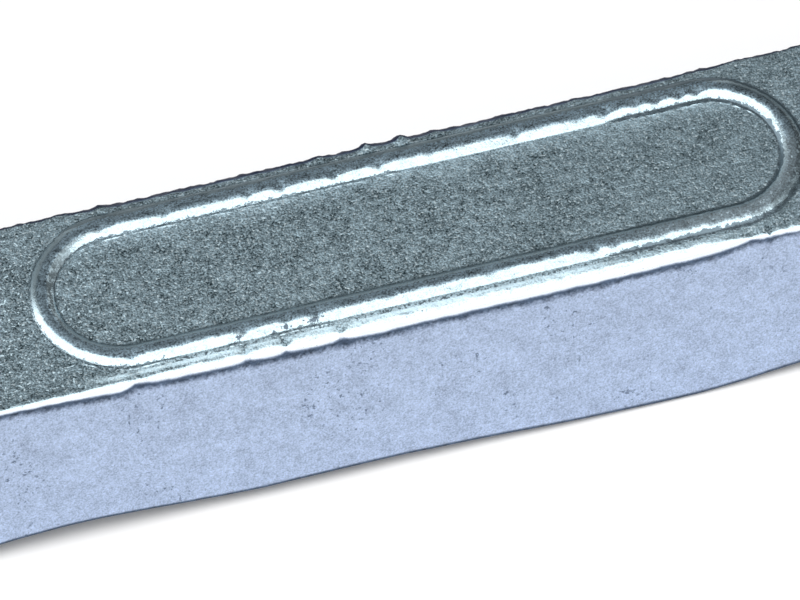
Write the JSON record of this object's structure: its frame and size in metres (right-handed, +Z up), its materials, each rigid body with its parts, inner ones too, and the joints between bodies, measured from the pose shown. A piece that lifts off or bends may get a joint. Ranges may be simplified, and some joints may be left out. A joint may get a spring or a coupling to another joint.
{
  "type": "aluminium ingot",
  "caption": "Long cast foundry ingot of trapezoid section that lies on its wide face, with a raised obround bead round a blank panel in the middle of its top.",
  "frame": {"origin": "on the floor under the middle of the bar", "axes": "+X along the bar, +Z up out of the face with the panel"},
  "size_m": [0.6904, 0.0984, 0.0616],
  "materials": {
    "cast_aluminium": "as cast: a grainy dark top face, smoother blue-grey drafted sides, and bright lumpy rims"
  },
  "bodies": {
    "root": {"ingot": "cast_aluminium"}
  },
  "joints": []
}
